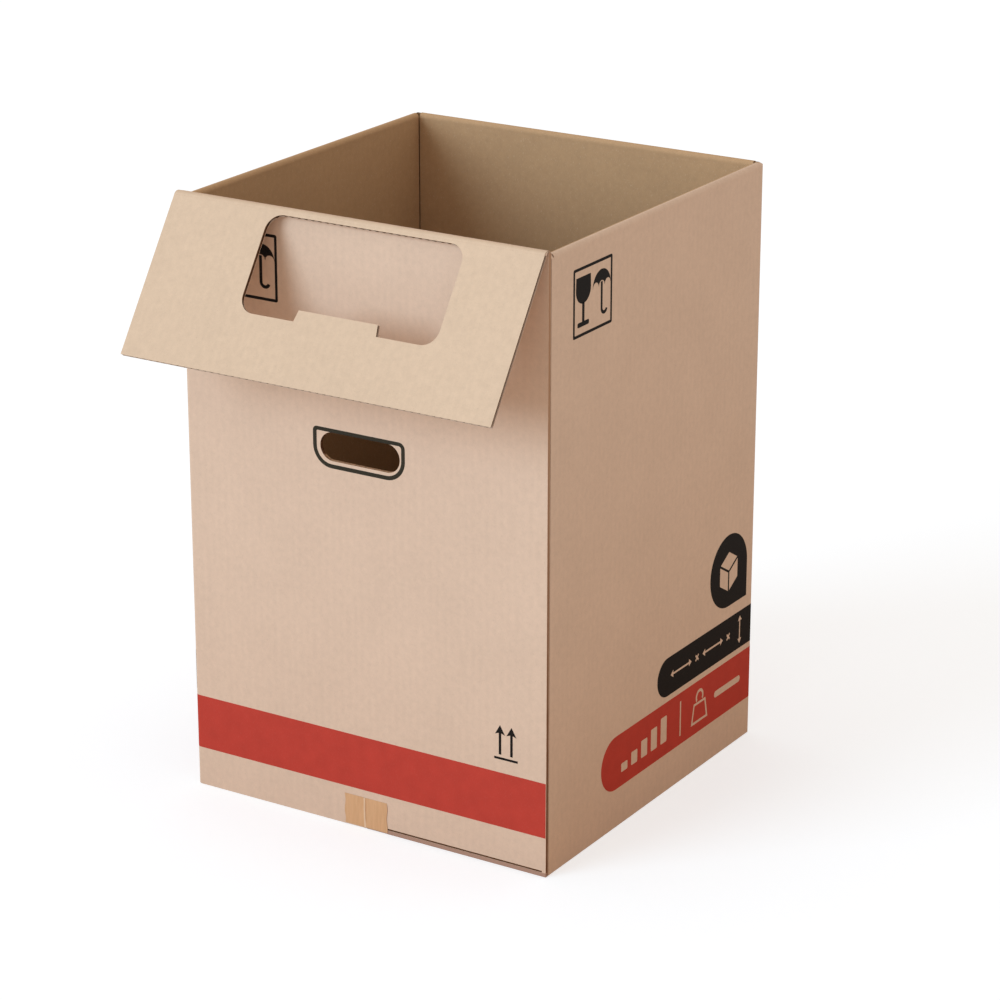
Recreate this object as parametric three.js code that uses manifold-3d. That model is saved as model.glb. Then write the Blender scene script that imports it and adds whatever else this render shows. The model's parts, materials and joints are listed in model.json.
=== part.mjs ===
// A tall moving box of single-wall corrugated board, standing open.
// One folded sheet makes the four walls, the glue tab and the bottom flaps, a strip of tape
// closes the bottom, and four top flaps are hinged at the creases along the rim.
// Millimetres, +Z up. The origin is the middle of the bottom, +X runs along the front wall to
// the right, and the front wall faces -Y.
import * as THREE from "three";
import { mergeVertices } from "three/addons/utils/BufferGeometryUtils.js";
import Module from "manifold-3d";

const wasm = await Module();
wasm.setup();

// Driving dimensions
const boxWidth = 400; // outside, along X
const boxDepth = 400; // outside, along Y
const boxHeight = 600; // floor to the front crease
const board = 4; // thickness of the corrugated board
const foldRadius = 5; // outside of the three folded upright corners
const layerGap = 1.8; // air between the inner and the outer bottom flaps
const bottomSeam = 1.2; // gap where the two outer bottom flaps meet
const slotClearance = 1; // side of a bottom flap to the wall beside it
const innerBottomFlapLength = 164;

const glueTabWidth = 35;
const glueTabTaper = 18; // height over which each end of the tab slants
const glueTabClearance = 0.8; // from the tab's ends to the bottom flaps and to the rim's board
const jointGap = 1; // open seam beside the glued corner

const handHoleWidth = 88;
const handHoleHeight = 28;
const handHoleAcross = -1.4; // its middle, to the right of the wall's middle
const handHoleUp = 379; // its middle, above the floor

const shortFlapLength = 164.4; // front and back flaps
const flapMeetingGap = 1.2; // where the two side flaps meet when they are closed
const flapSlot = 9; // cut back from each corner on the three flaps folded inside
const creaseClearance = 0.3; // between a flap and its wall at the crease
const frontFlapAngle = 33.8; // the front flap hangs this far out from its wall

const windowWidth = 212;
const windowHeight = 95.5;
const windowAcross = 15.5; // its middle, to the right of the flap's middle
const windowBelowCrease = 9;
const windowCornerRadius = 16;
const tongueWidth = 89;
const tongueRise = 11;
const tongueShoulder = 2; // how far each side of the tongue slants

const tapeWidth = 48;
const tapeThickness = 0.2;
const tapeTail = 32; // up the front and the back wall

// Sizes that follow
const halfWidth = boxWidth / 2;
const halfDepth = boxDepth / 2;
const innerLayer = board + layerGap; // underside of the inner bottom flaps
const bottomTop = innerLayer + board; // what the load stands on
const sideCrease = boxHeight - board - 2 * creaseClearance; // the front flap closes over it
const insideHalfWidth = halfWidth - board;
const insideHalfDepth = halfDepth - board;
const sideFlapLength = insideHalfWidth - flapMeetingGap / 2;
const cutMargin = 1; // how far a cutting solid reaches past what it cuts

const kraft = new THREE.MeshStandardMaterial({ name: "kraft_board", color: "#d7bfa8", roughness: 0.85 });
const tapeFilm = new THREE.MeshStandardMaterial({ name: "tape_film", color: "#cfa67c", roughness: 0.4 });

// A closed geometry as a solid that can be joined and cut.
function solidOf(geometry) {
  const bare = geometry.index ? geometry.toNonIndexed() : geometry.clone();
  for (const name of Object.keys(bare.attributes)) {
    if (name !== "position") bare.deleteAttribute(name);
  }
  const merged = mergeVertices(bare, 1e-4);
  return new wasm.Manifold(
    new wasm.Mesh({
      numProp: 3,
      vertProperties: merged.attributes.position.array,
      triVerts: new Uint32Array(merged.index.array),
    }),
  );
}

// The triangles of a solid as a geometry that three.js can draw.
function geometryOf(solid) {
  const made = solid.getMesh();
  const geometry = new THREE.BufferGeometry();
  geometry.setAttribute("position", new THREE.BufferAttribute(new Float32Array(made.vertProperties), 3));
  geometry.setIndex(new THREE.BufferAttribute(new Uint32Array(made.triVerts), 1));
  geometry.computeVertexNormals();
  return geometry;
}

// A box between two corners.
function block(low, high) {
  const size = high.map((value, k) => value - low[k]);
  const middle = high.map((value, k) => (value + low[k]) / 2);
  return solidOf(new THREE.BoxGeometry(...size).translate(...middle));
}

// An outline in the plane of its first two axes, given a height along the third. turn places it.
function slab(outline, height, turn) {
  const geometry = new THREE.ExtrudeGeometry(outline, { depth: height, bevelEnabled: false, curveSegments: 8 });
  if (turn) geometry.applyMatrix4(turn);
  return solidOf(geometry);
}

function polygon(points) {
  return new THREE.Shape(points.map(([x, y]) => new THREE.Vector2(x, y)));
}

// A rectangle about the origin whose corners have radii, from the lower left one anticlockwise.
function roundedRectangle(width, height, radii) {
  const [a, b, c, d] = radii;
  const x = width / 2;
  const y = height / 2;
  const shape = new THREE.Shape();
  shape.moveTo(-x + a, -y);
  shape.lineTo(x - b, -y);
  if (b) shape.absarc(x - b, -y + b, b, -Math.PI / 2, 0);
  shape.lineTo(x, y - c);
  if (c) shape.absarc(x - c, y - c, c, 0, Math.PI / 2);
  shape.lineTo(-x + d, y);
  if (d) shape.absarc(-x + d, y - d, d, Math.PI / 2, Math.PI);
  shape.lineTo(-x, -y + a);
  if (a) shape.absarc(-x + a, -y + a, a, Math.PI, 1.5 * Math.PI);
  return shape;
}

// Stands an outline drawn across (X) and up (Y) in a front wall. Its height runs along -Y.
const standUp = new THREE.Matrix4().makeRotationX(Math.PI / 2);

// Stands an outline drawn across (Y) and up (Z) in a side wall. Its height runs along +X.
const alongWidth = new THREE.Matrix4().makeBasis(
  new THREE.Vector3(0, 1, 0),
  new THREE.Vector3(0, 0, 1),
  new THREE.Vector3(1, 0, 0),
);

// The upright corners: folded round at three of them, square at the glued one (front right).
const cornerRadii = [foldRadius, 0, foldRadius, foldRadius];

function walls() {
  const outside = roundedRectangle(boxWidth, boxDepth, cornerRadii);
  const inside = cornerRadii.map((radius) => Math.max(radius - board, 0));
  outside.holes.push(roundedRectangle(2 * insideHalfWidth, 2 * insideHalfDepth, inside));
  return slab(outside, boxHeight);
}

// The space above a 45 degree bevel, drawn across and up. The bevel falls from its crease
// towards away, which is 1 or -1.
function aboveBevel(across, up, away) {
  const far = boxWidth + boxDepth;
  return polygon([
    [across, up],
    [across + away * far, up - far],
    [across + away * far, up + far],
    [across, up + far],
  ]);
}

// What is cut away above the rim, where each wall ends in a bevel that falls from its crease.
function aboveRim() {
  const top = boxHeight + board;
  const alongX = (outline) =>
    slab(outline, boxWidth + 2 * board, alongWidth).translate([-halfWidth - board, 0, 0]);
  const alongY = (outline) =>
    slab(outline, boxDepth + 2 * board, standUp).translate([0, halfDepth + board, 0]);
  const overFront = block([-halfWidth, -halfDepth, 0], [halfWidth, -insideHalfDepth, top]);
  const behindFront = block(
    [-halfWidth - board, -insideHalfDepth, 0],
    [halfWidth + board, halfDepth + board, top],
  );
  const inside = block(
    [-insideHalfWidth, -insideHalfDepth, sideCrease],
    [insideHalfWidth, insideHalfDepth, top],
  );
  const front = alongX(aboveBevel(-halfDepth, boxHeight, 1));
  const back = alongX(aboveBevel(insideHalfDepth, sideCrease, 1));
  const right = alongY(aboveBevel(insideHalfWidth, sideCrease, 1));
  const left = alongY(aboveBevel(-insideHalfWidth, sideCrease, -1));
  return front.intersect(overFront).add(inside).add(right.add(left).add(back).intersect(behindFront));
}

// The two outer bottom flaps fold in from the side walls and meet along the middle.
function outerBottomFlaps() {
  const sheet = roundedRectangle(boxWidth, boxDepth, [0, 0, 0, 0]);
  const past = halfDepth + cutMargin;
  const seam = block([-bottomSeam / 2, -past, -cutMargin], [bottomSeam / 2, past, board + cutMargin]);
  const recess = block([-tapeWidth / 2, -past, -cutMargin], [tapeWidth / 2, past, tapeThickness]);
  return slab(sheet, board).subtract(seam).subtract(recess);
}

// The two inner bottom flaps fold in from the front and the back wall and lie on the outer ones.
function innerBottomFlaps() {
  const half = insideHalfWidth - slotClearance;
  const front = block(
    [-half, -halfDepth + foldRadius / 2, innerLayer],
    [half, -halfDepth + innerBottomFlapLength, bottomTop],
  );
  const back = block(
    [-half, halfDepth - innerBottomFlapLength, innerLayer],
    [half, halfDepth - foldRadius / 2, bottomTop],
  );
  return front.add(back);
}

// A slit under the front and the back wall, where their board ends above the outer flaps.
function underWall(side) {
  const outer = side * (halfDepth + cutMargin);
  const inner = side * (halfDepth - board - slotClearance);
  return block(
    [-insideHalfWidth, Math.min(outer, inner), board],
    [insideHalfWidth, Math.max(outer, inner), innerLayer],
  );
}

// The tab that is glued behind the front wall, from the right wall.
function glueTab() {
  const low = bottomTop + glueTabClearance;
  const high = sideCrease - board - glueTabClearance;
  const outer = insideHalfWidth;
  const inner = insideHalfWidth - glueTabWidth;
  const outline = polygon([
    [outer, low],
    [outer, high],
    [inner, high - glueTabTaper],
    [inner, low + glueTabTaper],
  ]);
  return slab(outline, board, standUp).translate([0, -insideHalfDepth + board, 0]);
}

// The open seam at the glued corner, beside the raw edge of the front wall.
function jointSeam() {
  return block(
    [insideHalfWidth, -insideHalfDepth, -cutMargin],
    [halfWidth + cutMargin, -insideHalfDepth + jointGap, boxHeight + cutMargin],
  );
}

function handHole() {
  const radius = handHoleHeight / 2;
  const outline = roundedRectangle(handHoleWidth, handHoleHeight, [radius, radius, radius, radius]);
  const through = slab(outline, boxDepth + 2 * cutMargin, standUp);
  return through.translate([handHoleAcross, halfDepth + cutMargin, handHoleUp]);
}

function cartonBody() {
  const round = slab(roundedRectangle(boxWidth, boxDepth, cornerRadii), boxHeight);
  const foldedIn = block(
    [-insideHalfWidth, -halfDepth - cutMargin, -cutMargin],
    [insideHalfWidth, halfDepth + cutMargin, innerLayer],
  );
  return walls()
    .subtract(foldedIn)
    .add(glueTab())
    .add(outerBottomFlaps().intersect(round))
    .add(innerBottomFlaps())
    .subtract(underWall(-1))
    .subtract(underWall(1))
    .subtract(jointSeam())
    .subtract(handHole())
    .subtract(aboveRim());
}

// One strip: under the seam and up the front and the back wall.
function sealingTape() {
  const outer = halfDepth + tapeThickness;
  const profile = polygon([
    [-outer, 0],
    [outer, 0],
    [outer, tapeTail],
    [halfDepth, tapeTail],
    [halfDepth, tapeThickness],
    [-halfDepth, tapeThickness],
    [-halfDepth, tapeTail],
    [-outer, tapeTail],
  ]);
  return slab(profile, tapeWidth, alongWidth).translate([-tapeWidth / 2, 0, 0]);
}

// A flap hanging from its crease: the crease is the X axis, the flap runs down -Z and its
// thickness goes out along -Y. Its root has the bevel that meets the wall's.
function hangingFlap(length, width) {
  const near = creaseClearance;
  const far = creaseClearance + board;
  const root = creaseClearance * Math.SQRT2;
  const profile = polygon([
    [-near, -near - root],
    [-far, -far - root],
    [-far, -length],
    [-near, -length],
  ]);
  return slab(profile, width, alongWidth).translate([-width / 2, 0, 0]);
}

// The front flap's window, with a tongue that rises from its lower edge.
function flapWindow() {
  const radii = [windowCornerRadius, windowCornerRadius, windowCornerRadius, windowCornerRadius];
  const half = tongueWidth / 2;
  const floor = -windowHeight / 2;
  const through = board + creaseClearance + 2 * cutMargin;
  const tongue = polygon([
    [-half, floor - cutMargin],
    [half, floor - cutMargin],
    [half, floor],
    [half - tongueShoulder, floor + tongueRise],
    [-half + tongueShoulder, floor + tongueRise],
    [-half, floor],
  ]);
  return slab(roundedRectangle(windowWidth, windowHeight, radii), through, standUp)
    .subtract(slab(tongue, through, standUp))
    .translate([windowAcross, cutMargin, -windowBelowCrease - windowHeight / 2]);
}

function piece(name, solid, material) {
  const mesh = new THREE.Mesh(geometryOf(solid), material);
  mesh.name = name;
  return mesh;
}

// A group at a crease. facing turns it about Z, so that the flap's thickness goes that way.
function atCrease(mesh, place, facing, tilt = 0) {
  const crease = new THREE.Group();
  crease.position.set(...place);
  crease.rotation.z = THREE.MathUtils.degToRad(facing);
  mesh.rotation.x = THREE.MathUtils.degToRad(-tilt);
  crease.add(mesh);
  return crease;
}

const box = new THREE.Group();
box.add(piece("carton_body", cartonBody(), kraft));
box.add(piece("sealing_tape", sealingTape(), tapeFilm));

const frontFlap = hangingFlap(shortFlapLength, boxWidth).subtract(flapWindow());
const backFlap = hangingFlap(shortFlapLength, boxWidth - 2 * flapSlot);
const sideFlap = hangingFlap(sideFlapLength, boxDepth - 2 * flapSlot);
box.add(atCrease(piece("front_flap", frontFlap, kraft), [0, -halfDepth, boxHeight], 0, frontFlapAngle));
box.add(atCrease(piece("back_flap", backFlap, kraft), [0, insideHalfDepth, sideCrease], 0));
box.add(atCrease(piece("left_flap", sideFlap, kraft), [-insideHalfWidth, 0, sideCrease], 90));
box.add(atCrease(piece("right_flap", sideFlap, kraft), [insideHalfWidth, 0, sideCrease], -90));

export default box;
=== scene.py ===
"""Dresses a printed moving box of corrugated board: board, creases, ink, tape and stage."""

import json
import math

import bpy
from mathutils import Matrix, Vector


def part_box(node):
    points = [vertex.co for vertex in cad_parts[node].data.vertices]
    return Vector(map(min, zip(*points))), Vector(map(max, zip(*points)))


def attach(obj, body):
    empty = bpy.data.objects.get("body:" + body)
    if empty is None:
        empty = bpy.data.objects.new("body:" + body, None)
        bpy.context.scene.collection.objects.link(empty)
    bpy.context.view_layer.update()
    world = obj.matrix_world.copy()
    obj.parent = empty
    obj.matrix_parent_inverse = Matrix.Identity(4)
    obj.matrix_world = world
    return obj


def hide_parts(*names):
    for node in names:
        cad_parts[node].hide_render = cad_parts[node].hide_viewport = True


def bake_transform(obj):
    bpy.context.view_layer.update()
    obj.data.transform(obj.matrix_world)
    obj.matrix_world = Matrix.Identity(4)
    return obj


bl_info = {
    "name": "Moving box finish",
    "version": (1, 0, 0),
    "blender": (4, 5, 0),
    "location": "View3D > Sidebar > Moving box",
    "description": "Board, creases, print, tape and stage of a corrugated moving box",
    "category": "Object",
}

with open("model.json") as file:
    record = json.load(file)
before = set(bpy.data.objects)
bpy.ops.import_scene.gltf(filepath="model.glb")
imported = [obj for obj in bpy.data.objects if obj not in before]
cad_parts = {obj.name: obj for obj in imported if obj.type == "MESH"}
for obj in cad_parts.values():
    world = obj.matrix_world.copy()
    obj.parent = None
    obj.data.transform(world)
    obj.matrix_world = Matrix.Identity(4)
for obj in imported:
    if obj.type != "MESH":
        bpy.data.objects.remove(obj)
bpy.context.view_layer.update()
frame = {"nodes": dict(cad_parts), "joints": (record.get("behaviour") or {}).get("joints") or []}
MM = 0.001
JOINTS = {joint["name"]: joint for joint in frame["joints"]}

# Sizes that the frame's nodes and joints give
BODY_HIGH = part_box("carton_body")[1]
FRONT_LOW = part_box("front_flap")[0]
BACK_LOW, BACK_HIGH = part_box("back_flap")
SIDE_LOW, SIDE_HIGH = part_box("left_flap")
TAPE_LOW, TAPE_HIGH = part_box("sealing_tape")
HALF = BODY_HIGH.x  # from the middle to the outside of each wall
RIM = BODY_HIGH.z
SIDE_CREASE = JOINTS["left_flap_crease"]["pos_m"][2]  # height of the side and back creases
BOARD = SIDE_HIGH.x - SIDE_LOW.x
INSIDE = HALF - BOARD
CLEAR = SIDE_LOW.x - JOINTS["left_flap_crease"]["pos_m"][0]  # from a crease to its flap's near face
ROOT = CLEAR * math.sqrt(2)  # how far a flap's bevelled root stays off its wall's, down the flap
# The front flap's lower limit lies flat on its wall, so that is how far it hangs out at rest
FRONT_ANGLE = math.radians(-JOINTS["front_flap_crease"]["range_deg"][0])
FRONT_LENGTH = (RIM - FRONT_LOW.z + CLEAR * math.sin(FRONT_ANGLE)) / math.cos(FRONT_ANGLE)

# Sizes that the frame doesn't state
FOLD_RADIUS = 5 * MM  # outside of the upright folds
INNER_LAYER = BOARD + 1.8 * MM  # underside of the inner bottom flaps
LINER = 0.35 * MM
WRINKLE = -1.2 * MM  # where the tape's wrinkle stands, across the tape
OVERLAP = 1.5 * MM  # how far the liner over a crease lies on its wall and on its flap
NEAR = 0.1 * MM  # what lies closer to a face than this counts as on it


def number_property(name, about, default, unit="NONE"):
    return bpy.props.FloatProperty(name=name, description=about, default=default, unit=unit)


def length_property(name, about, default):
    return number_property(name, about, default, "LENGTH")


def linear(text):
    """An sRGB hex colour as linear RGBA."""
    channels = [int(text[k : k + 2], 16) / 255 for k in (0, 2, 4)]
    out = [c / 12.92 if c <= 0.04045 else ((c + 0.055) / 1.055) ** 2.4 for c in channels]
    return (*out, 1.0)


def colour_property(name, about, hex_colour):
    return bpy.props.FloatVectorProperty(
        name=name, description=about, default=linear(hex_colour), subtype="COLOR", size=4, min=0, max=1
    )


class BoardSettings(bpy.types.PropertyGroup):
    flute_pitch: length_property("Flute pitch", "From crest to crest of the fluting", 7.7 * MM)
    medium: length_property("Medium", "Thickness of the fluted paper", 0.3 * MM)
    window_width: length_property("Window width", "Window in the front flap", 212 * MM)
    window_height: length_property("Window height", "Window in the front flap", 95.5 * MM)
    window_across: length_property("Window across", "Its middle, right of the flap's", 15.5 * MM)
    window_drop: length_property("Window drop", "Crease to the window's top", 9 * MM)
    window_radius: length_property("Window radius", "Corners of the window", 16 * MM)
    tongue_width: length_property("Tongue width", "Tongue in the window's lower edge", 89 * MM)
    tongue_rise: length_property("Tongue rise", "Height of the tongue", 11 * MM)
    outside: colour_property("Outside", "Outer liner", "DABFA9")
    # Inside and Stored flap: the same kraft, darkened as painted shade for the inside of the box
    inside: colour_property("Inside", "Inner liner", "A07E5C")
    stored: colour_property("Stored flap", "Upper side of a flap folded inside", "BC9974")
    flap: colour_property("Flap", "Upper side of the front flap", "D6BCA2")
    cut: colour_property("Cut edge", "Cut board and fluting", "B59071")


class PrintSettings(bpy.types.PropertyGroup):
    red_low: length_property("Red band low", "Lower edge of the red band", 39.5 * MM)
    red_high: length_property("Red band high", "Upper edge of the red band", 94.5 * MM)
    red_start: length_property("Red band start", "Round end, right of the wall's middle", -100 * MM)
    black_low: length_property("Black band low", "Lower edge of the black band", 100.5 * MM)
    black_high: length_property("Black band high", "Upper edge of the black band", 140.5 * MM)
    black_start: length_property("Black band start", "Round end, right of the middle", 6 * MM)
    lift: length_property("Ink lift", "How far the ink stands off the liner", 0.1 * MM)
    red: colour_property("Red ink", "Bands round the foot of the box", "BE4135")
    black: colour_property("Black ink", "Signs, badge and dimension band", "120E0C")
    olive: colour_property("Outline ink", "Line round the hand hole", "312D23")


class StageSettings(bpy.types.PropertyGroup):
    lens: number_property("Lens", "Focal length of the camera", 121.16, "CAMERA")
    key: number_property("Key light", "Strength of the sun lamp", 1.94)
    ambient: number_property("Ambient light", "Strength of the world's light", 0.73)
    floor_size: length_property("Floor size", "Side of the square floor", 40.0)
    key_tint: colour_property("Key tint", "Colour of the sun lamp", "D3ECFF")
    ambient_tint: colour_property("Ambient tint", "Colour of the world's light", "FFF4EA")


def node(tree, kind, links=None, **settings):
    """Adds a node with its settings. links gives its sockets, by name or index, a link or a value.

    A Mix node takes its factor at 0, two numbers at 2 and 3, and two colours at 6 and 7.
    """
    made = tree.nodes.new(f"ShaderNode{kind}")
    for key, value in settings.items():
        setattr(made, key, value)
    for key, value in (links or {}).items():
        if isinstance(value, bpy.types.NodeSocket):
            tree.links.new(value, made.inputs[key])
        else:
            made.inputs[key].default_value = value
    return made


def new_material(name, roughness, specular):
    """A node material, its tree, its Principled shader and its object coordinates."""
    made = bpy.data.materials.new(name)
    made.use_nodes = True
    tree = made.node_tree
    shader = tree.nodes["Principled BSDF"]
    shader.inputs["Roughness"].default_value = roughness
    shader.inputs["Specular IOR Level"].default_value = specular
    return made, tree, shader, node(tree, "TexCoord").outputs["Object"]


def upright_fibres(tree, place):
    """Paper fibres about 2.4 mm long and 0.5 mm wide, mostly upright, and so coarse that they show."""
    per_metre = (1900.0, 1900.0, 420.0)
    squeeze = node(tree, "Mapping", {"Vector": place, "Scale": per_metre}).outputs[0]
    return node(tree, "TexNoise", {"Vector": squeeze, "Scale": 1.0, "Detail": 2.0}).outputs["Fac"]


def washboard(tree, place):
    """Ridges over the flutes. They run upright on the walls, and out to the side walls elsewhere."""
    split = node(tree, "SeparateXYZ", {0: place})
    normal = node(tree, "TexCoord").outputs["Normal"]
    facing = node(tree, "SeparateXYZ", {0: normal}).outputs["Y"]
    steep = node(tree, "Math", {0: facing}, operation="ABSOLUTE").outputs[0]
    front = node(tree, "Math", {0: steep, 1: 0.5}, operation="GREATER_THAN").outputs[0]
    across = node(tree, "Mix", {0: front, 2: split.outputs["Y"], 3: split.outputs["X"]}).outputs[0]
    turns = 2 * math.pi / bpy.context.scene.box_board.flute_pitch
    angle = node(tree, "Math", {0: across, 1: turns}, operation="MULTIPLY").outputs[0]
    wave = node(tree, "Math", {0: angle}, operation="SINE").outputs[0]
    uneven = node(tree, "TexNoise", {"Vector": place, "Scale": 30.0, "Detail": 2.0}).outputs["Fac"]
    return node(tree, "Math", {0: wave, 1: uneven}, operation="MULTIPLY").outputs[0]


def kraft(name, paper, ridge=1.0):
    """Uncoated kraft liner over C flute: matt, cloudy, with short fibres and faint flute ridges."""
    made, tree, shader, place = new_material(name, 0.82, 0.12)

    # Cloudy formation of the paper, in patches of about 60 mm and 7 mm, 5 percent up and down
    wide = node(tree, "TexNoise", {"Vector": place, "Scale": 16.0, "Detail": 2.0}).outputs["Fac"]
    patch = {"Vector": place, "Scale": 150.0, "Detail": 4.0, "Roughness": 0.7}
    close = node(tree, "TexNoise", patch).outputs["Fac"]
    clouds = node(tree, "Mix", {0: 0.7, 2: wide, 3: close}).outputs[0]
    spread = {"Value": clouds, "From Min": 0.35, "From Max": 0.65, "To Min": 0.95, "To Max": 1.05}
    tone = node(tree, "MapRange", spread).outputs[0]

    # The ridges show in the tone by 1.4 percent
    ridges = washboard(tree, place)
    shaded = {0: ridges, 1: 0.014 * ridge, 2: tone}
    tone = node(tree, "Math", shaded, operation="MULTIPLY_ADD").outputs[0]
    colour = node(tree, "VectorMath", {0: paper[:3], "Scale": tone}, operation="SCALE").outputs[0]

    # Dark and pale fibres: where they start and are full in the pattern, and how much of them shows
    fibres = upright_fibres(tree, place)
    for start, full, share, tint in ((0.63, 0.74, 0.26, "8A674A"), (0.37, 0.26, 0.28, "F2E4D0")):
        spread = {"Value": fibres, "From Min": start, "From Max": full, "To Max": share}
        fleck = node(tree, "MapRange", spread).outputs[0]
        mix = node(tree, "Mix", {0: fleck, 6: colour, 7: linear(tint)}, data_type="RGBA")
        colour = mix.outputs[2]
    tree.links.new(colour, shader.inputs["Base Color"])

    # Heights of the ridges, the fibres and the small patches, in mm
    heights = (0.05 * ridge, 0.04, 0.08)
    relief = node(tree, "CombineXYZ", {"X": ridges, "Y": fibres, "Z": close}).outputs[0]
    rise = node(tree, "VectorMath", {0: relief, 1: heights}, operation="DOT_PRODUCT").outputs["Value"]
    bump = node(tree, "Bump", {"Height": rise, "Strength": 0.55, "Distance": MM})
    tree.links.new(bump.outputs[0], shader.inputs["Normal"])
    return made


def cut_board():
    """Cut corrugated board and its fluting: torn paper, painted dark inside the flutes as shade, and pale
    at their ends.
    """
    made, tree, shader, place = new_material("cut_corrugated_board", 0.9, 0.1)
    # Painted shade: steep faces, the flute walls and the sides of cuts, are painted dark brown; level
    # faces stay pale
    normal = node(tree, "TexCoord").outputs["Normal"]
    upward = node(tree, "SeparateXYZ", {0: normal}).outputs["Z"]
    level = node(tree, "Math", {0: upward}, operation="ABSOLUTE").outputs[0]
    end = node(tree, "MapRange", {"Value": level, "From Min": 0.6, "From Max": 0.75}).outputs[0]
    pale = bpy.context.scene.box_board.cut
    mix = node(tree, "Mix", {0: end, 6: linear("6B4A34"), 7: pale}, data_type="RGBA").outputs[2]
    # Tears about 2.4 mm across
    torn = node(tree, "TexNoise", {"Vector": place, "Scale": 420.0, "Detail": 4.0}).outputs["Fac"]
    spread = {"Value": torn, "From Min": 0.38, "From Max": 0.6, "To Min": 0.55, "To Max": 1.05}
    tone = node(tree, "MapRange", spread).outputs[0]
    colour = node(tree, "VectorMath", {0: mix, "Scale": tone}, operation="SCALE").outputs[0]
    tree.links.new(colour, shader.inputs["Base Color"])
    bump = node(tree, "Bump", {"Height": torn, "Strength": 0.6, "Distance": 0.4 * MM})
    tree.links.new(bump.outputs[0], shader.inputs["Normal"])
    return made


def raw_edge():
    """An edge cut along the flutes, at the glued corner and under the front: a channel in two liners,
    painted dark as shade.
    """
    made, tree, shader, place = new_material("raw_edge_along_flutes", 0.9, 0.1)
    split = node(tree, "SeparateXYZ", {0: place})

    # Distance from the middle of the front wall's board, or of the lowest layer, with ragged edges
    distances = []
    for axis, middle in (("Y", -HALF + BOARD / 2), ("Z", BOARD / 2)):
        offset = node(tree, "Math", {0: split.outputs[axis], 1: middle}, operation="SUBTRACT").outputs[0]
        distances.append(node(tree, "Math", {0: offset}, operation="ABSOLUTE").outputs[0])
    near = node(tree, "Math", {0: distances[0], 1: distances[1]}, operation="MINIMUM").outputs[0]
    torn = node(tree, "TexNoise", {"Vector": place, "Scale": 60.0, "Detail": 3.0}).outputs["Fac"]
    ragged = node(tree, "Math", {0: torn, 1: 0.9 * MM, 2: near}, operation="MULTIPLY_ADD").outputs[0]
    edge = {"Value": ragged, "From Min": 2.0 * MM, "From Max": 1.5 * MM}
    channel = node(tree, "MapRange", edge).outputs[0]

    # The channel between the liners is painted dark as shade. The seam is pressed shut lower down, and
    # from 420 to 100 mm above the floor the channel's painted shade grows darker
    rise = {"Value": split.outputs["Z"], "From Min": 100 * MM, "From Max": 420 * MM}
    height = node(tree, "MapRange", rise).outputs[0]
    deep = node(tree, "Mix", {0: height, 6: linear("6E4832"), 7: linear("AA8468")}, data_type="RGBA")
    mix = node(tree, "Mix", {0: channel, 6: linear("C2A188"), 7: deep.outputs[2]}, data_type="RGBA")
    foot = node(tree, "Math", {0: split.outputs["Z"], 1: BOARD}, operation="LESS_THAN").outputs[0]
    mix = node(tree, "Mix", {0: foot, 6: mix.outputs[2], 7: linear("AE8C7B")}, data_type="RGBA")
    tree.links.new(mix.outputs[2], shader.inputs["Base Color"])
    return made


def slit_shade():
    """A dark sheet deep inside the slit under a wall, painted dark brown as the shade there, where hardly
    any light comes.
    """
    made, _, shader, _ = new_material("board_in_slit", 0.9, 0.0)
    shader.inputs["Base Color"].default_value = linear("5A3A20")
    return made


def flexo_ink(name, ink, show_through=0.05):
    """Water-based flexo ink on kraft: matt, and thin enough for some fibres to show through."""
    made, tree, shader, place = new_material(name, 0.7, 0.15)
    fibres = upright_fibres(tree, place)
    spread = {"Value": fibres, "From Min": 0.56, "From Max": 0.78, "To Max": show_through}
    gaps = node(tree, "MapRange", spread).outputs[0]
    # Uneven laydown, in patches of about 17 mm
    cloud = node(tree, "TexNoise", {"Vector": place, "Scale": 60.0, "Detail": 3.0}).outputs["Fac"]
    tone = node(tree, "MapRange", {"Value": cloud, "To Min": 0.86, "To Max": 1.1}).outputs[0]
    colour = node(tree, "VectorMath", {0: ink[:3], "Scale": tone}, operation="SCALE").outputs[0]
    paper = bpy.context.scene.box_board.outside
    mix = node(tree, "Mix", {0: gaps, 6: colour, 7: paper}, data_type="RGBA").outputs[2]
    tree.links.new(mix, shader.inputs["Base Color"])
    bump = node(tree, "Bump", {"Height": fibres, "Strength": 0.3, "Distance": 0.1 * MM})
    tree.links.new(bump.outputs[0], shader.inputs["Normal"])
    return made


def packing_tape():
    """Brown polypropylene tape on kraft: thin film with a low gloss, fine pulled streaks and a painted
    highlight on its fold.
    """
    made, tree, shader, place = new_material("polypropylene_tape", 0.42, 0.3)
    # Streaks about 2.4 mm wide and 25 mm long
    per_metre = (420.0, 420.0, 40.0)
    pull = node(tree, "Mapping", {"Vector": place, "Scale": per_metre}).outputs[0]
    streaks = node(tree, "TexNoise", {"Vector": pull, "Scale": 1.0, "Detail": 3.0}).outputs["Fac"]
    mix = node(tree, "Mix", {0: streaks, 6: linear("E2B68C"), 7: linear("C99D73")}, data_type="RGBA")
    # The fold that stands up in the middle gets a painted highlight, pale
    across = node(tree, "SeparateXYZ", {0: place}).outputs["X"]
    fold_highlight_mask = node(tree, "Math", {0: across, 1: WRINKLE, 2: 0.9 * MM}, operation="COMPARE").outputs[0]
    share = node(tree, "Math", {0: fold_highlight_mask, 1: 0.65}, operation="MULTIPLY").outputs[0]
    mix = node(tree, "Mix", {0: share, 6: mix.outputs[2], 7: linear("F0D9BE")}, data_type="RGBA")
    tree.links.new(mix.outputs[2], shader.inputs["Base Color"])
    bump = node(tree, "Bump", {"Height": streaks, "Strength": 0.35, "Distance": 0.2 * MM})
    tree.links.new(bump.outputs[0], shader.inputs["Normal"])
    return made


MATERIALS = {}


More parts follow.
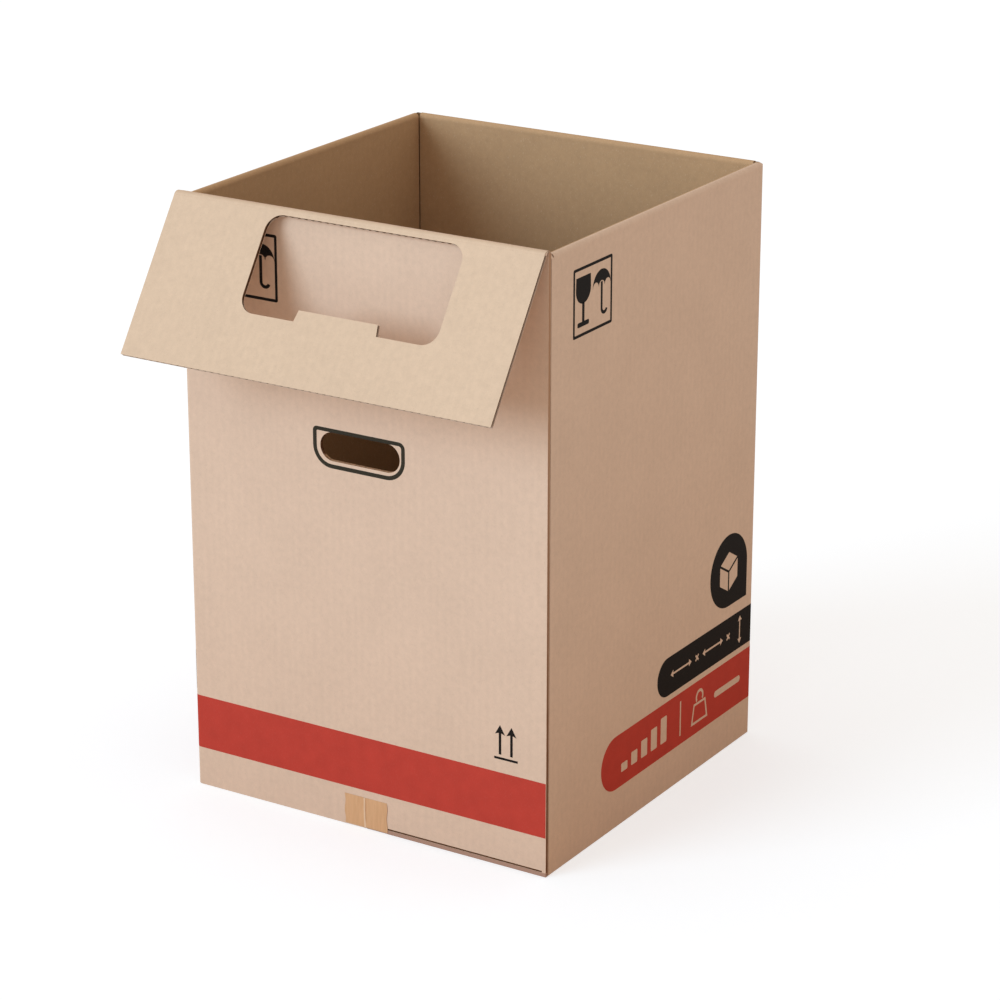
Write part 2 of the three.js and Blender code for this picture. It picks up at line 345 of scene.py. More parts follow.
def material(name):
    """A finish by its plain name, made once."""
    board = bpy.context.scene.box_board
    ink = bpy.context.scene.box_print
    makers = {
        "outside": lambda: kraft("kraft_outer_liner", board.outside),
        # The inside and stored liners are darker copies of the kraft: painted shade of the box's inside
        "inside": lambda: kraft("kraft_inner_liner", board.inside, 0.8),
        "stored": lambda: kraft("kraft_stored_flap_liner", board.stored, 0.8),
        "flap": lambda: kraft("kraft_flap_liner", board.flap, 0.8),
        "cut": cut_board,
        "raw": raw_edge,
        "slit": slit_shade,
        "red": lambda: flexo_ink("red_flexo_ink", ink.red),
        "black": lambda: flexo_ink("black_flexo_ink", ink.black, 0.03),
        "olive": lambda: flexo_ink("dark_outline_ink", ink.olive),
        "tape": packing_tape,
    }
    if name not in MATERIALS:
        MATERIALS[name] = makers[name]()
    return MATERIALS[name]


def select_only(piece):
    bpy.ops.object.select_all(action="DESELECT")
    piece.select_set(True)
    bpy.context.view_layer.objects.active = piece


def edit_all(piece, *steps):
    """Runs mesh operators on the whole piece in edit mode."""
    select_only(piece)
    bpy.ops.object.mode_set(mode="EDIT")
    bpy.ops.mesh.select_all(action="SELECT")
    for step in steps:
        step()
    bpy.ops.object.mode_set(mode="OBJECT")


def place_mesh(piece, matrix):
    """Moves the mesh itself, so that the object stays at the origin."""
    piece.data.transform(matrix)
    piece.matrix_world = Matrix.Identity(4)
    if matrix.determinant() < 0:
        piece.data.flip_normals()
    return piece


def merge_and_face_out(piece):
    weld = 0.002 * MM
    edit_all(
        piece,
        lambda: bpy.ops.mesh.remove_doubles(threshold=weld),
        lambda: bpy.ops.mesh.normals_make_consistent(inside=False),
    )
    return piece


def flat_shape(name, loops, thickness):
    """A sheet cut to closed outlines (an outline inside another is a hole), its underside at Z 0."""
    curve = bpy.data.curves.new(name, "CURVE")
    curve.dimensions = "2D"
    curve.fill_mode = "BOTH"
    curve.extrude = thickness / 2
    for points in loops:
        line = curve.splines.new("POLY")
        line.points.add(len(points) - 1)
        for point, (x, y) in zip(line.points, points):
            point.co = (x, y, 0.0, 1.0)
        line.use_cyclic_u = True
    piece = bpy.data.objects.new(name, curve)
    bpy.context.scene.collection.objects.link(piece)
    select_only(piece)
    bpy.ops.object.convert(target="MESH")
    piece = bpy.context.object
    piece.name = name
    piece.data.transform(Matrix.Translation((0, 0, thickness / 2)))
    return merge_and_face_out(piece)


def join(name, pieces):
    """Joins pieces into the first one, under a new name."""
    select_only(pieces[0])
    for piece in pieces[1:]:
        piece.select_set(True)
    if len(pieces) > 1:
        bpy.ops.object.join()
    bpy.context.object.name = name
    return bpy.context.object


def give(piece, *names):
    piece.data.materials.clear()
    for name in names:
        piece.data.materials.append(material(name))
    return piece


def finish_piece(piece, body, replaced=()):
    """Says which body a piece rides on, and the CAD nodes that it replaces."""
    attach(piece, body)
    if replaced:
        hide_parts(*replaced)
    return piece


def arc(centre, radius, start, end, steps=10):
    """Points on an arc, angles in degrees."""
    angles = [math.radians(start + (end - start) * k / steps) for k in range(steps + 1)]
    return [(centre[0] + radius * math.cos(a), centre[1] + radius * math.sin(a)) for a in angles]


def rectangle(low, high, radii=(0, 0, 0, 0)):
    """A rectangle between two corners, with radii from the lower left corner anticlockwise."""
    (x0, y0), (x1, y1) = low, high
    a, b, c, d = radii
    points = []
    points += arc((x0 + a, y0 + a), a, 180, 270) if a else [(x0, y0)]
    points += arc((x1 - b, y0 + b), b, 270, 360) if b else [(x1, y0)]
    points += arc((x1 - c, y1 - c), c, 0, 90) if c else [(x1, y1)]
    points += arc((x0 + d, y1 - d), d, 90, 180) if d else [(x0, y1)]
    return points


def in_metres(points):
    return [(x * MM, y * MM) for x, y in points]


def moved(points, across, up):
    return [(x + across, y + up) for x, y in points]


STAND = Matrix.Rotation(math.pi / 2, 4, "X")  # sets a sheet that lies flat upright, facing -Y


def at_wall(turn):
    """From a sheet drawn across and up, lying on Z 0, to the outside of a wall. 0 is the front."""
    return Matrix.Rotation(math.radians(turn), 4, "Z") @ Matrix.Translation((0, -HALF, 0)) @ STAND


def at_crease(joint, facing, tilt=0.0):
    """From a flap that hangs on the -Y side of the X axis to its place at a crease.

    facing turns it from there, in degrees, and tilt swings it outwards, in radians.
    """
    turn = Matrix.Rotation(math.radians(facing), 4, "Z") @ Matrix.Rotation(-tilt, 4, "X")
    return Matrix.Translation(JOINTS[joint]["pos_m"]) @ turn


def copy_of_node(node_name, piece_name):
    """A merged copy of a CAD node's mesh, with whole flat faces."""
    source = frame["nodes"][node_name]
    piece = bpy.data.objects.new(piece_name, source.data.copy())
    bpy.context.scene.collection.objects.link(piece)
    edit_all(
        piece,
        lambda: bpy.ops.mesh.remove_doubles(threshold=0.01 * MM),
        lambda: bpy.ops.mesh.dissolve_limited(angle_limit=math.radians(0.5)),
        lambda: bpy.ops.mesh.normals_make_consistent(inside=False),
    )
    if piece.data.has_custom_normals:
        select_only(piece)
        bpy.ops.mesh.customdata_custom_splitnormals_clear()
    return piece


def face_finish(face):
    """Which liner or edge of the carton a face is: 0 outside, 1 inside, 2 cut across, 3 cut along."""
    centre, normal = face.center, face.normal
    straight = 0.9  # a normal's share along an axis, past which the face lies square to it

    # The front wall's raw edge shows at the glued corner
    at_right = normal.x > straight and centre.x > HALF - NEAR
    if at_right and centre.y < -INSIDE + NEAR:
        return 3
    # The outer bottom flaps' raw edges show under one half of the front, and of the back
    at_end = abs(normal.y) > straight and abs(centre.y) > HALF - NEAR
    if at_end and centre.z < BOARD and centre.x * centre.y < 0:
        return 3
    # The hand holes are cut in the middle of the front and back
    hole_half, hole_low, hole_high = 60 * MM, 300 * MM, 450 * MM
    in_hole = abs(centre.x) < hole_half and hole_low < centre.z < hole_high
    if in_hole and abs(centre.y) > INSIDE - NEAR and abs(normal.y) < straight:
        return 2
    # Faces inside the box take the inner liner's colour, darkened as painted shade
    within = max(abs(centre.x), abs(centre.y)) < INSIDE + NEAR
    if within and centre.z > 1.2 * BOARD:
        return 1
    return 0


class BOX_OT_carton(bpy.types.Operator):
    """The folded sheet: walls, glue tab and bottom flaps"""

    bl_idname = "box.carton"
    bl_label = "Carton body"

    def execute(self, context):
        piece = give(copy_of_node("carton_body", "carton_board"), "outside", "inside", "cut", "raw")
        # The rim's inner edge makes room for the liner that bends over each crease
        room = 0.45 * MM
        for vertex in piece.data.vertices:
            within = max(abs(vertex.co.x), abs(vertex.co.y)) < INSIDE + NEAR
            if within and vertex.co.z > SIDE_CREASE - NEAR:
                vertex.co.z -= room
        # A cut just above the outer bottom flaps lets their edges differ from the walls
        flap_top = (0, 0, BOARD + 2 * NEAR)
        edit_all(piece, lambda: bpy.ops.mesh.bisect(plane_co=flap_top, plane_no=(0, 0, 1)))
        for face in piece.data.polygons:
            face.material_index = face_finish(face)
        select_only(piece)
        bpy.ops.object.shade_smooth_by_angle(angle=math.radians(25))
        finish_piece(piece, "carton", ["carton_body"])

        # Under one half of the front, and of the back, the bottom flap is pressed up to the wall.
        # Under the other half it leaves a slit, with a dark sheet of painted shade deep inside it. The
        # halves part behind the tape.
        corner = INSIDE + 0.3 * MM
        part = TAPE_LOW.x + 2 * MM
        pressed = (-corner, BOARD - 0.2 * MM), (part, INNER_LAYER + 0.3 * MM)
        slit = (part, BOARD), (corner, INNER_LAYER)
        thickness = 0.4 * MM
        halves = (
            ("pressed_edge", pressed, 0.35 * MM, "outside"),
            ("bottom_slit", slit, 1.2 * MM, "slit"),
        )
        for side, turn in (("front", 0), ("back", 180)):
            for name, (low, high), depth, finish in halves:
                edge = flat_shape(f"{side}_{name}", [rectangle(low, high)], thickness)
                edge.data.transform(Matrix.Translation((0, 0, -depth)))
                place_mesh(give(edge, finish), at_wall(turn))
                finish_piece(edge, "carton")
        return {"FINISHED"}


def flap_window(board):
    """The window's outline on a hanging flap, with the tongue in its lower edge."""
    left = board.window_across - board.window_width / 2
    right = board.window_across + board.window_width / 2
    top = -board.window_drop
    low = top - board.window_height
    tongue_left = board.window_across - board.tongue_width / 2
    tongue_right = board.window_across + board.tongue_width / 2
    tongue_top = low + board.tongue_rise
    slant = 2 * MM
    radius = board.window_radius
    tongue = [
        (tongue_left, low),
        (tongue_left + slant, tongue_top),
        (tongue_right - slant, tongue_top),
        (tongue_right, low),
    ]
    outline = arc((left + radius, low + radius), radius, 180, 270) + tongue
    outline += arc((right - radius, low + radius), radius, 270, 360)
    outline += arc((right - radius, top - radius), radius, 0, 90)
    outline += arc((left + radius, top - radius), radius, 90, 180)
    return outline


def flap_liners(name, length, width, holes):
    """The two liners of a hanging flap. The root is bevelled, so the near one is the longer."""
    sheets = []
    for depth, reach in ((CLEAR, CLEAR), (CLEAR + BOARD - LINER, CLEAR + BOARD)):
        outline = rectangle((-width / 2, -length), (width / 2, -reach - ROOT))
        sheet = flat_shape(name, [outline, *holes], LINER)
        sheet.data.transform(STAND @ Matrix.Translation((0, 0, depth)))
        sheets.append(sheet)
    return sheets


def flap_fluting(name, board, length, width, windows):
    """The fluted paper between the liners: a wave across the flap, straight down it."""
    swing = BOARD / 2 - LINER - board.medium / 2
    middle = -(CLEAR + BOARD / 2)
    steps = 8 * round(width / board.flute_pitch)
    inset = 0.3 * MM  # the paper stays inside the liners' edges
    xs = [-width / 2 + inset + (width - 2 * inset) * k / steps for k in range(steps + 1)]
    line = [(x, middle + swing * math.sin(2 * math.pi * x / board.flute_pitch)) for x in xs]
    outline = [(x, y - board.medium / 2) for x, y in line]
    outline += [(x, y + board.medium / 2) for x, y in reversed(line)]
    start = CLEAR + BOARD + ROOT
    piece = flat_shape(name, [outline], length - start - inset)
    piece.data.transform(Matrix.Translation((0, 0, -length + inset)))
    if windows:
        cutter = flat_shape("window_cutter", windows, 4 * BOARD)
        cutter.data.transform(STAND @ Matrix.Translation((0, 0, -BOARD)))
        cut = piece.modifiers.new("window", "BOOLEAN")
        cut.operation = "DIFFERENCE"
        cut.solver = "EXACT"
        cut.object = cutter
        select_only(piece)
        bpy.ops.object.modifier_apply(modifier=cut.name)
        bpy.data.objects.remove(cutter)
    return piece


def root_filler(name, width):
    """The crushed board in the bevel at a flap's root."""
    near, far = -CLEAR, -CLEAR - BOARD
    foot = far - 3 * ROOT
    outline = [(near, near - ROOT), (far, far - ROOT), (far, foot), (near, foot)]
    piece = flat_shape(name, [outline], width)
    # Drawn out and up, it is turned so that its thickness runs along the crease
    piece.data.transform(Matrix(((0, 0, 1, -width / 2), (1, 0, 0, 0), (0, 1, 0, 0), (0, 0, 0, 1))))
    return piece


class BOX_OT_flaps(bpy.types.Operator):
    """The four top flaps, each of two liners and the fluting between them"""

    bl_idname = "box.flaps"
    bl_label = "Top flaps"

    def execute(self, context):
        board = context.scene.box_board
        side_length = SIDE_CREASE - SIDE_LOW.z
        side_width = SIDE_HIGH.y - SIDE_LOW.y
        flaps = (
            ("front", FRONT_LENGTH, 2 * HALF, 0, FRONT_ANGLE, True),
            ("back", SIDE_CREASE - BACK_LOW.z, BACK_HIGH.x - BACK_LOW.x, 0, 0.0, False),
            ("left", side_length, side_width, 90, 0.0, False),
            ("right", side_length, side_width, -90, 0.0, False),
        )
        for side, length, width, facing, tilt, cut in flaps:
            windows = [flap_window(board)] if cut else []
            place = at_crease(f"{side}_flap_crease", facing, tilt)
            near, far = flap_liners(f"{side}_flap_liners", length, width, windows)
            give(near, "outside")
            give(far, "flap" if cut else "stored")
            filler = give(root_filler("root", width), "outside")
            liners = place_mesh(join(f"{side}_flap_liners", [near, far, filler]), place)
            finish_piece(liners, f"{side}_top_flap", [f"{side}_flap"])
            fluting = flap_fluting(f"{side}_flap_fluting", board, length, width, windows)
            place_mesh(give(fluting, "cut"), place)
            select_only(fluting)
            bpy.ops.object.shade_smooth_by_angle(angle=math.radians(40))
            finish_piece(fluting, f"{side}_top_flap")
        return {"FINISHED"}


def bent_strip(name, place, thickness, columns, rows):
    """A grid laid over a surface, as a sheet. place gives a point for its shares across and along."""
    bpy.ops.object.select_all(action="DESELECT")
    bpy.ops.mesh.primitive_grid_add(x_subdivisions=columns, y_subdivisions=rows, size=1.0)
    piece = bpy.context.object
    piece.name = name
    for vertex in piece.data.vertices:
        vertex.co = place(vertex.co.x + 0.5, vertex.co.y + 0.5)
    sheet = piece.modifiers.new("sheet", "SOLIDIFY")
    sheet.thickness = thickness
    sheet.offset = -1
    select_only(piece)
    bpy.ops.object.modifier_apply(modifier=sheet.name)
    bpy.ops.object.shade_smooth_by_angle(angle=math.radians(40))
    piece.matrix_world = Matrix.Identity(4)
    return piece


def along_path(points, share):
    """The point at a share of a polyline's length."""
    lengths = [math.dist(a, b) for a, b in zip(points, points[1:])]
    left = share * sum(lengths)
    for (a, b), length in zip(zip(points, points[1:]), lengths):
        if left <= length or b is points[-1]:
            t = min(left / length, 1.0)
            return tuple(a[k] + (b[k] - a[k]) * t for k in range(len(a)))
        left -= length
    return points[-1]


def front_crease_line():
    """Across the front crease: (outwards from the axis, up), from the wall's inside over to the flap."""
    lift = 0.15 * MM
    down = Vector((math.sin(FRONT_ANGLE), -math.cos(FRONT_ANGLE)))
    out = Vector((math.cos(FRONT_ANGLE), math.sin(FRONT_ANGLE)))
    wall_top = Vector((-BOARD - lift, -BOARD))
    flap_top = down * (CLEAR + BOARD + ROOT) + out * (CLEAR + BOARD + lift)
    # A cubic curve from the wall to the flap, with given handles
    rise = wall_top + Vector((0.6 * MM, 4.0 * MM))
    fall = Vector((flap_top.x - 3.2 * MM, 1.4 * MM))
    steps = 12
    bend = []
    for k in range(steps + 1):
        t = k / steps
        s = 1 - t
        bend.append(s**3 * wall_top + 3 * t * s**2 * rise + 3 * t**2 * s * fall + t**3 * flap_top)
    return [wall_top - Vector((0, OVERLAP)), *bend, flap_top + down * OVERLAP]


def folded_crease_line():
    """Across a crease folded right round: from the wall's outside over the top to the flap's face."""
    lift = 0.12 * MM
    left = -BOARD - lift
    right = BOARD + CLEAR + lift
    middle = (left + right) / 2
    radius = (right - left) / 2
    base = -radius
    over = arc((middle, base), radius, 180, 0, 14)
    return [(left, base - OVERLAP), *over, (right, base - OVERLAP)]


def over_crease(line, width):
    """A place function for a strip over a crease line of some width."""

    def place(across, along):
        out, up = along_path(line, across)
        return Vector(((along - 0.5) * width, -out, up))

    return place


class BOX_OT_creases(bpy.types.Operator):
    """The liner that runs over each crease, from its wall to its flap"""

    bl_idname = "box.creases"
    bl_label = "Creases"

    def execute(self, context):
        front_line = front_crease_line()
        folded_line = folded_crease_line()
        # The middle stretch of a folded crease, 2.2 mm to either side of its axis
        folded_bend = (-2.2 * MM, 2.2 * MM)
        thickness = 0.2 * MM
        back_width = BACK_HIGH.x - BACK_LOW.x
        side_width = SIDE_HIGH.y - SIDE_LOW.y
        creases = (
            ("front", front_line, 2 * (HALF - 2 * NEAR), 0, "flap"),
            ("back", folded_line, back_width, 0, "outside"),
            ("left", folded_line, side_width, 90, "outside"),
            ("right", folded_line, side_width, -90, "outside"),
        )
        for side, line, width, facing, finish in creases:
            laid = over_crease(line, width)
            strip = bent_strip(f"{side}_crease", laid, thickness, columns=28, rows=30)
            merge_and_face_out(strip)
            give(strip, finish, "stored")
            if side != "front":
                # Past its top the liner lies inside the box, on the stored flap, and takes its colour
                # darkened as painted shade
                for face in strip.data.polygons:
                    face.material_index = int(-face.center.y > 0)
            turn = at_crease(f"{side}_flap_crease", facing)
            place_mesh(strip, turn)
            ends = (line[0][0], line[-1][0]) if side == "front" else folded_bend
            start, end = (turn @ Vector((0, -out, 0)) for out in ends)
            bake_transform(strip)
            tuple(start)
            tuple(end)
        return {"FINISHED"}


def wine_glass():
    """A glass, the handling sign for fragile goods, standing on its own origin. In millimetres."""
    bowl = [(-12.5, 46), (12.5, 46)] + arc((0, 34), 13, 0, -180, 14)
    stem = rectangle((-2, 4), (2, 22))
    foot = rectangle((-10, 0), (10, 4.4), (1.5,) * 4)
    return [bowl, stem, foot]


def umbrella():
    """An umbrella, the handling sign for keeping dry, standing on its own origin. In millimetres."""
    rim, scallop = 27, 5.2
    dome = arc((0, rim), 3 * scallop, 180, 0, 18)
    for k in range(3):
        dome += arc((2 * scallop * (1 - k), rim), scallop, 0, 180, 6)
    pole = rectangle((-1.6, 6), (1.6, 31))
    hook = arc((4.6, 6), 6.2, 180, 340, 10) + arc((4.6, 6), 3.0, 340, 180, 10)
    return [dome, pole, hook]


def printed(name, groups, ink, turn, lift):
    """Ink on a wall. Each group is an outline with its holes, in millimetres across and up."""
    parts = []
    for loops in groups:
        parts.append(flat_shape(name, [in_metres(loop) for loop in loops], 2 * lift))
        parts[-1].data.transform(Matrix.Translation((0, 0, -lift)))
    piece = place_mesh(join(name, parts), at_wall(turn))
    give(piece, ink)
    return finish_piece(piece, "carton")


def handling_sign():
    """The framed sign that stands high on every wall: a glass and an umbrella."""
    outer = rectangle((-158, 508), (-90, 572), (2,) * 4)
    inner = rectangle((-155.2, 510.8), (-92.8, 569.2), (0.2,) * 4)
    groups = [[outer, inner]]
    groups += [[moved(loop, -140.5, 517)] for loop in wine_glass()]
    groups += [[moved(loop, -108.5, 519.5)] for loop in umbrella()]
    return groups


def up_arrows():
    """Two arrows over a line, the handling sign for this way up."""
    groups = [[rectangle((144, 107.7), (169.5, 110))]]
    half, barb = 1.35, 5.4  # half the width of a shaft, and of a head
    foot, neck, corner, tip = 112.6, 134.0, 132.6, 142.0
    right = [(half, foot), (half, neck), (barb, corner)]
    left = [(-x, z) for x, z in reversed(right)]
    arrow = [left[-1], *right, (0, tip), *left[:-1]]
    for middle in (150.3, 162.7):
        groups.append([moved(arrow, middle, 0)])
    return groups


def hole_outline():
    """The thick line round the hand hole, with tight upper and wide lower corners."""
    outer = rectangle((-53.5, 357.8), (48.2, 396.5), (20.5, 20.5, 6.5, 4.5))
    inner = rectangle((-49.4, 361.8), (44.2, 392.8), (16.5, 16.5, 3, 1.2))
    return [[outer, inner]]


def cube_badge():
    """A round badge with one square corner. A box shows in it as three faces left unprinted."""
    across, up, radius = 147, 191.5, 38
    outline = arc((across, up), radius, 0, 270, 40) + [(across + radius, up - radius)]
    side, gap = 19.5, 1.3  # an edge of the cube, and how far its faces stand off its near corner
    right = Vector((side * math.cos(math.radians(30)), side * math.sin(math.radians(30))))
    left = Vector((-right.x, right.y))
    down = Vector((0, -side))
    near_corner = Vector((across, up - 1))

    def face(one, other, away):
        corner = near_corner + gap * Vector(away)
        return [tuple(corner + step) for step in (Vector((0, 0)), one, one + other, other)]

    top = face(right, left, (0, 1))
    front_left = face(left, down, (-0.9, -0.5))
    front_right = face(down, right, (0.9, -0.5))
    return [[outline, top, front_left, front_right]]


def double_arrow(start, end, up):
    """A dimension arrow with two heads, lying flat."""
    half, head, barb = 1.1, 5.5, 4.125  # half the shaft's width, a head's length and half its width
    neck, other_neck = start + head, end - head
    lower = [(neck, -barb), (neck, -half), (other_neck, -half), (other_neck, -barb)]
    upper = [(x, -y) for x, y in reversed(lower)]
    return moved([(start, 0), *lower, (end, 0), *upper], 0, up)


def cross(across, up):
    """A times sign."""
    reach, half = 4.2, 1.15  # an arm's length and half its width
    arm = [(reach, -half), (reach, half), (half, half)]
    points = []
    for k in range(4):
        c, s = math.cos(math.radians(45 + 90 * k)), math.sin(math.radians(45 + 90 * k))
        points += [(across + x * c - y * s, up + x * s + y * c) for x, y in arm]
    return points


def round_ended(start, low, high):
    """The outline of a band that starts in a half circle and ends at the fold."""
    radius = (high - low) / 2
    return rectangle((start, low), ((HALF - FOLD_RADIUS) / MM, high), (radius, 0, 0, radius))


def turned(points, centre):
    """A quarter turn about a point."""
    return [(centre[0] - (y - centre[1]), centre[1] + (x - centre[0])) for x, y in points]


def black_band(ink):
    """Round-ended band with three unprinted dimension arrows and times signs between them."""
    low, high, start = (v / MM for v in (ink.black_low, ink.black_high, ink.black_start))
    middle = (low + high) / 2
    holes = []
    for left, right, between in ((32, 74, 85), (96, 138, 149)):
        holes += [double_arrow(left, right, middle), cross(between, middle)]
    holes.append(turned(double_arrow(158, 188, middle), (173, middle)))
    return [[round_ended(start, low, high), *holes]]


def kettle_weight():
    """The outline of a weight, a tapered block under a ring, standing on its own origin."""
    block = [(-17, 0), (17, 0), (12, 22), (-12, 22)]
    hollow = [(-13.6, 2.6), (13.6, 2.6), (10, 19.4), (-10, 19.4)]
    ring = arc((0, 27), 8.0, 218, -38, 16) + arc((0, 27), 5.0, -30, 210, 16)
    return [block, hollow, ring]


def red_band(ink):
    """Round-ended band with unprinted level bars, a divider, a weight and a plain bar."""
    low, high, start = (v / MM for v in (ink.red_low, ink.red_high, ink.red_start))
    base = low + 14
    first, pitch, width = -62, 19, 12
    shortest, growth = 9, 4.6
    holes = []
    for k in range(5):
        left = first + pitch * k
        top = base + shortest + growth * k
        holes.append(rectangle((left, base), (left + width, top), (1.5,) * 4))
    holes.append(rectangle((52, low + 9), (54.5, high - 9)))
    holes += [moved(loop, 92, low + 10.5) for loop in kettle_weight()]
    holes.append(rectangle((122, base + 10), (176, base + 17), (3.4,) * 4))
    return [[round_ended(start, low, high), *holes]]


def band_corner(name, low, high, sweep, ink, turn, lift):
    """A band's stretch round the fold at a wall's right-hand corner. sweep is 90 for all of it."""
    middle = HALF - FOLD_RADIUS
    radius = FOLD_RADIUS + lift
    overlap = 0.5  # degrees over the flat stretch at each end

    def place(across, along):
        angle = math.radians(-90 - overlap + (sweep + 2 * overlap) * across)
        height = low + (high - low) * along
        return Vector((middle + radius * math.cos(angle), -middle + radius * math.sin(angle), height))

    strip = bent_strip(name, place, 2 * lift, columns=12, rows=2)
    merge_and_face_out(strip)
    place_mesh(strip, Matrix.Rotation(math.radians(turn), 4, "Z"))
    give(strip, ink)
    return finish_piece(strip, "carton")


class BOX_OT_print(bpy.types.Operator):
    """The ink on the four walls: opposite walls are printed alike"""

    bl_idname = "box.print"
    bl_label = "Print"

    def execute(self, context):
        ink = context.scene.box_print
        lift = ink.lift
        low, high = ink.red_low / MM, ink.red_high / MM
        fold = (HALF - FOLD_RADIUS) / MM
        # The front's band ends just short of the raw edge, and the back's at the fold
        for side, turn, end in (("front", 0, HALF / MM - 0.3), ("back", 180, fold)):
            printed(f"{side}_handling_sign", handling_sign(), "black", turn, lift)
            printed(f"{side}_up_arrows", up_arrows(), "black", turn, lift)
            printed(f"{side}_hole_outline", hole_outline(), "olive", turn, lift)
            band = [[rectangle((-fold, low), (end, high))]]
            printed(f"{side}_red_band", band, "red", turn, lift)
        for side, turn in (("right", 90), ("left", -90)):
            printed(f"{side}_handling_sign", handling_sign(), "black", turn, lift)
            printed(f"{side}_cube_badge", cube_badge(), "black", turn, lift)
            printed(f"{side}_black_band", black_band(ink), "black", turn, lift)
            printed(f"{side}_red_band", red_band(ink), "red", turn, lift)
            red, black = f"{side}_red_band_corner", f"{side}_black_band_corner"
            band_corner(red, ink.red_low, ink.red_high, 90, "red", turn, lift)
            band_corner(black, ink.black_low, ink.black_high, 48, "black", turn, lift)
        return {"FINISHED"}


class BOX_OT_tape(bpy.types.Operator):
    """The strip of tape: up the front, under the seam and up the back"""

    bl_idname = "box.tape"
    bl_label = "Sealing tape"

    def execute(self, context):
        width = TAPE_HIGH.x - TAPE_LOW.x
        film = 0.15 * MM
        out = HALF + film + 0.05 * MM
        bend = 1.6 * MM
        low = 0.02 * MM
        # Down the front, round the edge, under the box, and up the back
        front = [(-out, TAPE_HIGH.z), *arc((bend - out, bend + low), bend, 180, 270, 6)]
        line = front + [(-y, z) for y, z in reversed(front)]

        smooth, blend = 3 * MM, 8 * MM  # height without wrinkles, and over which they grow
        ridge_height, ridge_half = 1.3 * MM, 0.8 * MM
        pucker_height, ragged = 0.1 * MM, 0.5 * MM

        def place(across, along):
            y, z = along_path(line, along)
            x = (across - 0.5) * width
            if z > smooth:
                ridge = ridge_height * math.exp(-(((x - WRINKLE) / ridge_half) ** 2))
                # Two ripples that cross, each about 6 mm from crest to crest
                waves = math.sin(x * 900 + z * 500) + math.sin(x * 380 - z * 900 + 1.3)
                pucker = pucker_height * abs(waves)
                y += math.copysign((ridge + pucker) * min((z - smooth) / blend, 1.0), y)
                # The side edges waver, about 20 mm from crest to crest
                if abs(across - 0.5) > 0.48:
                    x += ragged * math.sin(z * 310)
            return Vector((x, y, z))

        strip = bent_strip("sealing_tape_film", place, film, columns=60, rows=240)
        merge_and_face_out(strip)
        give(strip, "tape")
        finish_piece(strip, "carton", ["sealing_tape"])
        return {"FINISHED"}


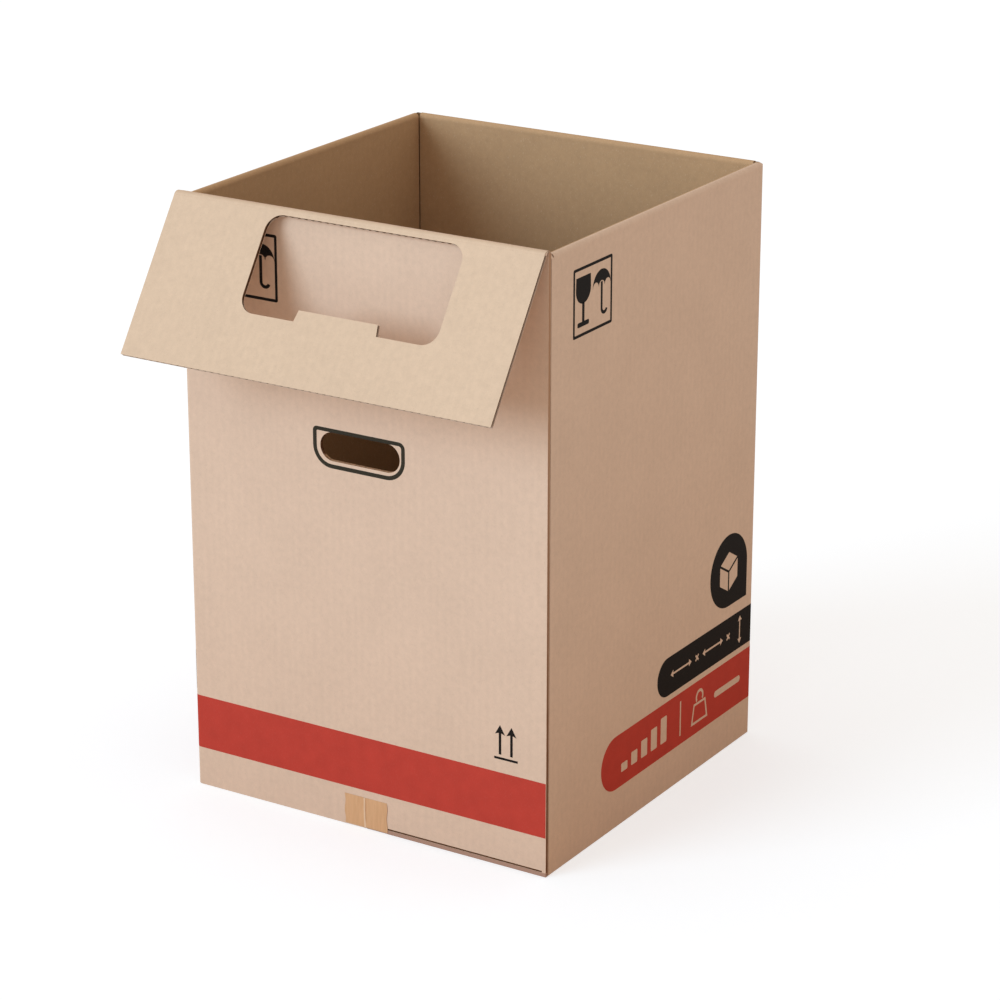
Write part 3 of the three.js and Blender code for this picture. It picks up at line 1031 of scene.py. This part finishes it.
class BOX_OT_stage(bpy.types.Operator):
    """Pale floor, soft light, white background and the camera"""

    bl_idname = "box.stage"
    bl_label = "Stage"

    def execute(self, context):
        stage = context.scene.box_stage
        # It lies under the tape, the lowest piece
        bpy.ops.mesh.primitive_plane_add(size=stage.floor_size, location=(0, 0, -0.15 * MM))
        floor = context.object
        floor.name = "floor"
        # Matt floor: white to the camera, and it throws back warm light, browner near the box
        made, tree, shader, place = new_material("pale_floor", 0.9, 0.0)
        seen = node(tree, "LightPath").outputs["Is Camera Ray"]
        distance = node(tree, "VectorMath", {0: place}, operation="LENGTH").outputs["Value"]
        far = node(tree, "MapRange", {"Value": distance, "From Min": 0.3, "From Max": 1.1}).outputs[0]
        warm = node(tree, "Mix", {0: far, 6: linear("B48246"), 7: linear("E9E3DF")}, data_type="RGBA")
        paint = node(tree, "Mix", {0: seen, 6: warm.outputs[2], 7: linear("CBD1D7")}, data_type="RGBA")
        tree.links.new(paint.outputs[2], shader.inputs["Base Color"])
        shader.inputs["Emission Color"].default_value = linear("BFBFBF")
        tree.links.new(seen, shader.inputs["Emission Strength"])
        floor.data.materials.append(made)

        # The world lights with a warm ambient, and looks white to the camera and in reflections
        world = bpy.data.worlds.new("studio")
        context.scene.world = world
        world.use_nodes = True
        tree = world.node_tree
        tree.nodes.clear()
        seen = node(tree, "LightPath")
        white_to = seen.outputs["Is Camera Ray"]
        for ray in ("Is Glossy Ray", "Is Transmission Ray"):
            either = {0: white_to, 1: seen.outputs[ray]}
            white_to = node(tree, "Math", either, operation="MAXIMUM").outputs[0]
        ambient = node(tree, "Background", {"Color": stage.ambient_tint, "Strength": stage.ambient})
        white = node(tree, "Background", {"Color": linear("FFFFFF"), "Strength": 1.0})
        mix = node(tree, "MixShader", {0: white_to, 1: ambient.outputs[0], 2: white.outputs[0]})
        node(tree, "OutputWorld", {"Surface": mix.outputs[0]})

        # A wide soft lamp, low on the front left
        lamp = bpy.data.lights.new("key", "SUN")
        lamp.energy = stage.key
        lamp.color = stage.key_tint[:3]
        lamp.angle = math.radians(35)
        key = bpy.data.objects.new("key", lamp)
        shines = Vector((0.45, 0.80, -0.30))
        key.rotation_euler = shines.to_track_quat("-Z", "Y").to_euler()
        context.scene.collection.objects.link(key)

        # The camera's place and turn come from the box's corners in the photograph
        camera_data = bpy.data.cameras.new("camera")
        camera_data.lens = stage.lens
        camera_data.sensor_width = 36.0
        camera = bpy.data.objects.new("camera", camera_data)
        camera.location = (1.6551, -2.6081, 1.3783)
        camera.rotation_euler = [math.radians(a) for a in (70.300, -0.013, 32.007)]
        context.scene.collection.objects.link(camera)
        context.scene.camera = camera
        context.scene.view_settings.view_transform = "Standard"
        return {"FINISHED"}


class BOX_PT_panel(bpy.types.Panel):
    """Makes the box's pieces one group at a time"""

    bl_idname = "BOX_PT_panel"
    bl_label = "Moving box"
    bl_space_type = "VIEW_3D"
    bl_region_type = "UI"
    bl_category = "Moving box"

    def draw(self, context):
        for operator in OPERATORS:
            self.layout.operator(operator.bl_idname)


SETTINGS = {"box_board": BoardSettings, "box_print": PrintSettings, "box_stage": StageSettings}
OPERATORS = (BOX_OT_carton, BOX_OT_flaps, BOX_OT_creases, BOX_OT_print, BOX_OT_tape, BOX_OT_stage)


def register():
    for made in (*SETTINGS.values(), *OPERATORS, BOX_PT_panel):
        bpy.utils.register_class(made)
    for name, group in SETTINGS.items():
        setattr(bpy.types.Scene, name, bpy.props.PointerProperty(type=group))


def unregister():
    for name in SETTINGS:
        delattr(bpy.types.Scene, name)
    for made in (BOX_PT_panel, *reversed(OPERATORS), *SETTINGS.values()):
        bpy.utils.unregister_class(made)


def main():
    register()
    bpy.ops.box.carton()
    bpy.ops.box.flaps()
    bpy.ops.box.creases()
    bpy.ops.box.print()
    bpy.ops.box.tape()
    bpy.ops.box.stage()


if __name__ == "__main__":
    main()
